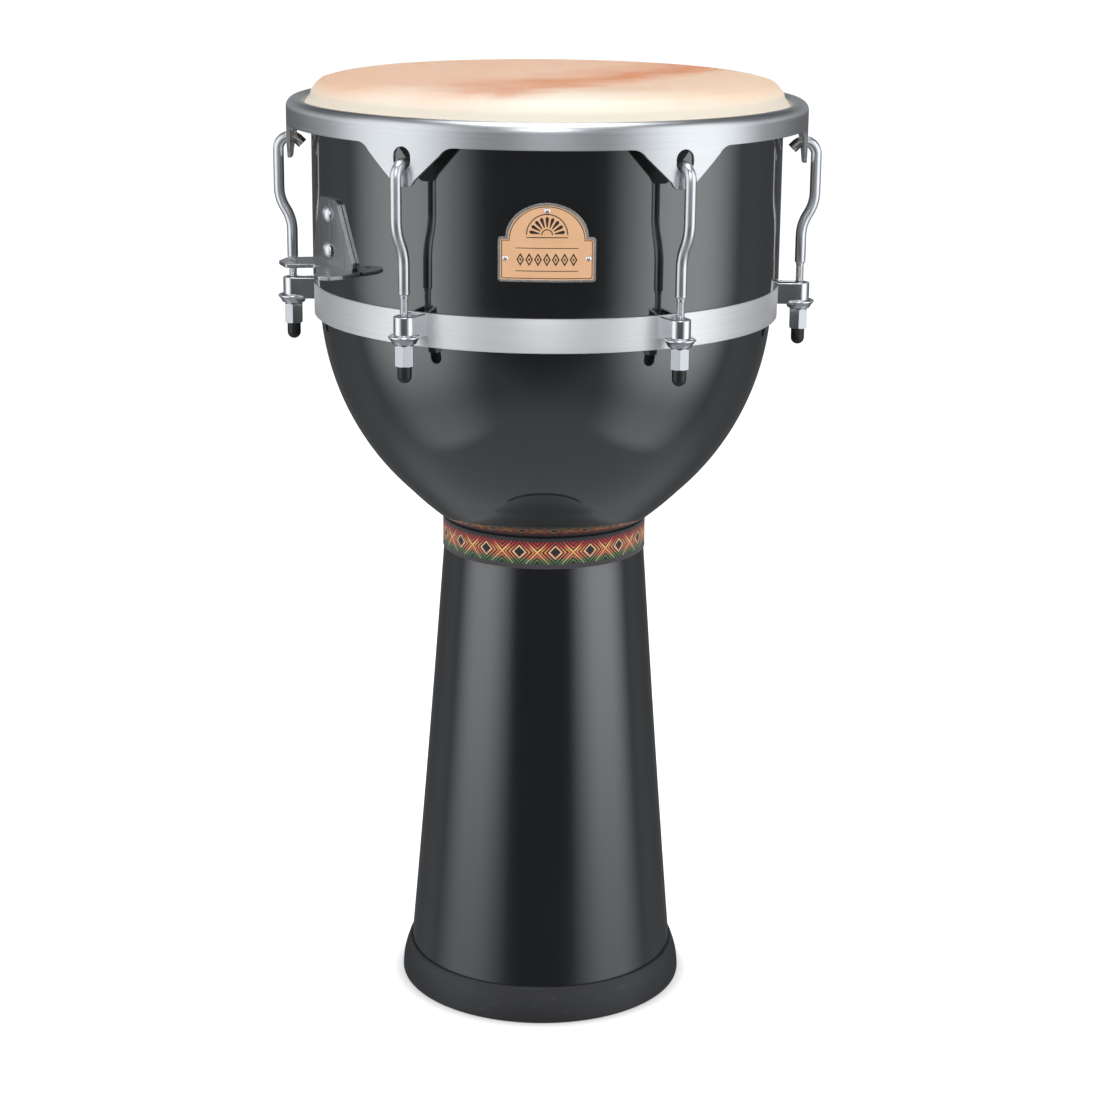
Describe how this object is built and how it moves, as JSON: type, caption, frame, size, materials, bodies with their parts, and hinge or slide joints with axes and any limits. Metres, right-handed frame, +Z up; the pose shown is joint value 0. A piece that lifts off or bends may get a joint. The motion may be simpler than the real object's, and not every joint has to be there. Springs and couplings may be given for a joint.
{
  "type": "djembe",
  "caption": "Goblet-shaped hand drum with a gloss shell, a stretched skin under a steel hoop with eared tension hooks, a ribbon round the neck and a rubber foot.",
  "frame": {"origin": "on the drum's axis, at the surface that the foot stands on", "axes": "+Z up the drum's axis to the head; the badge faces -Y; +X to the right when the badge is seen from the front"},
  "size_m": [0.4172, 0.394, 0.7284],
  "materials": {
    "shell_gloss": "black gloss lacquer over fibreglass",
    "shell_raw": "bare fibreglass",
    "ribbon": "woven",
    "foot_rubber": "matt",
    "cap_rubber": "satin",
    "band_steel": "brushed",
    "bracket_steel": "satin",
    "chrome": "polished",
    "skin": "natural goatskin",
    "badge_copper": "copper plated"
  },
  "bodies": {
    "shell": {"bowl_shell": "shell_gloss", "stem_shell": "shell_gloss", "neck_sleeve": "shell_raw", "neck_ribbon": "ribbon", "rubber_foot": "foot_rubber", "side_band": "band_steel", "strap_bracket": "bracket_steel", "strap_bracket_bolts": "chrome", "strap_bracket_washers": "band_steel", "strap_bracket_nuts": "band_steel", "badge_plate": "badge_copper", "badge_pins": "badge_copper", "lug_bracket_1": "chrome", "cup_washer_1": "chrome", "lug_bracket_2": "chrome", "cup_washer_2": "chrome", "lug_bracket_3": "chrome", "cup_washer_3": "chrome", "lug_bracket_4": "chrome", "cup_washer_4": "chrome", "lug_bracket_5": "chrome", "cup_washer_5": "chrome", "lug_bracket_6": "chrome", "cup_washer_6": "chrome"},
    "head_and_hoop": {"crown_hoop": "chrome", "head_skin": "skin", "flesh_hoop": "band_steel", "tension_hook_1": "chrome", "tension_hook_2": "chrome", "tension_hook_3": "chrome", "tension_hook_4": "chrome", "tension_hook_5": "chrome", "tension_hook_6": "chrome"},
    "nut_1": {"tension_nut_1": "chrome", "nut_cap_1": "cap_rubber"},
    "nut_2": {"tension_nut_2": "chrome", "nut_cap_2": "cap_rubber"},
    "nut_3": {"tension_nut_3": "chrome", "nut_cap_3": "cap_rubber"},
    "nut_4": {"tension_nut_4": "chrome", "nut_cap_4": "cap_rubber"},
    "nut_5": {"tension_nut_5": "chrome", "nut_cap_5": "cap_rubber"},
    "nut_6": {"tension_nut_6": "chrome", "nut_cap_6": "cap_rubber"}
  },
  "joints": [
    {"name": "hoop_slide", "type": "slide", "parent": "shell", "child": "head_and_hoop", "axis": [0, 0, 1], "range_m": [0, 0.008]},
    {"name": "nut_1_turn", "type": "hinge", "parent": "shell", "child": "nut_1", "pos_m": [-0.0975, 0.16887, 0.545], "axis": [0, 0, 1], "range_deg": [-2268, 0]},
    {"name": "nut_2_turn", "type": "hinge", "parent": "shell", "child": "nut_2", "pos_m": [-0.195, 0, 0.545], "axis": [0, 0, 1], "range_deg": [-2268, 0]},
    {"name": "nut_3_turn", "type": "hinge", "parent": "shell", "child": "nut_3", "pos_m": [-0.0975, -0.16887, 0.545], "axis": [0, 0, 1], "range_deg": [-2268, 0]},
    {"name": "nut_4_turn", "type": "hinge", "parent": "shell", "child": "nut_4", "pos_m": [0.0975, -0.16887, 0.545], "axis": [0, 0, 1], "range_deg": [-2268, 0]},
    {"name": "nut_5_turn", "type": "hinge", "parent": "shell", "child": "nut_5", "pos_m": [0.195, 0, 0.545], "axis": [0, 0, 1], "range_deg": [-2268, 0]},
    {"name": "nut_6_turn", "type": "hinge", "parent": "shell", "child": "nut_6", "pos_m": [0.0975, 0.16887, 0.545], "axis": [0, 0, 1], "range_deg": [-2268, 0]}
  ],
  "couplings": [
    {"joint": "nut_1_turn", "follows": "hoop_slide", "rad_per_m": -4947.4},
    {"joint": "nut_2_turn", "follows": "hoop_slide", "rad_per_m": -4947.4},
    {"joint": "nut_3_turn", "follows": "hoop_slide", "rad_per_m": -4947.4},
    {"joint": "nut_4_turn", "follows": "hoop_slide", "rad_per_m": -4947.4},
    {"joint": "nut_5_turn", "follows": "hoop_slide", "rad_per_m": -4947.4},
    {"joint": "nut_6_turn", "follows": "hoop_slide", "rad_per_m": -4947.4}
  ]
}
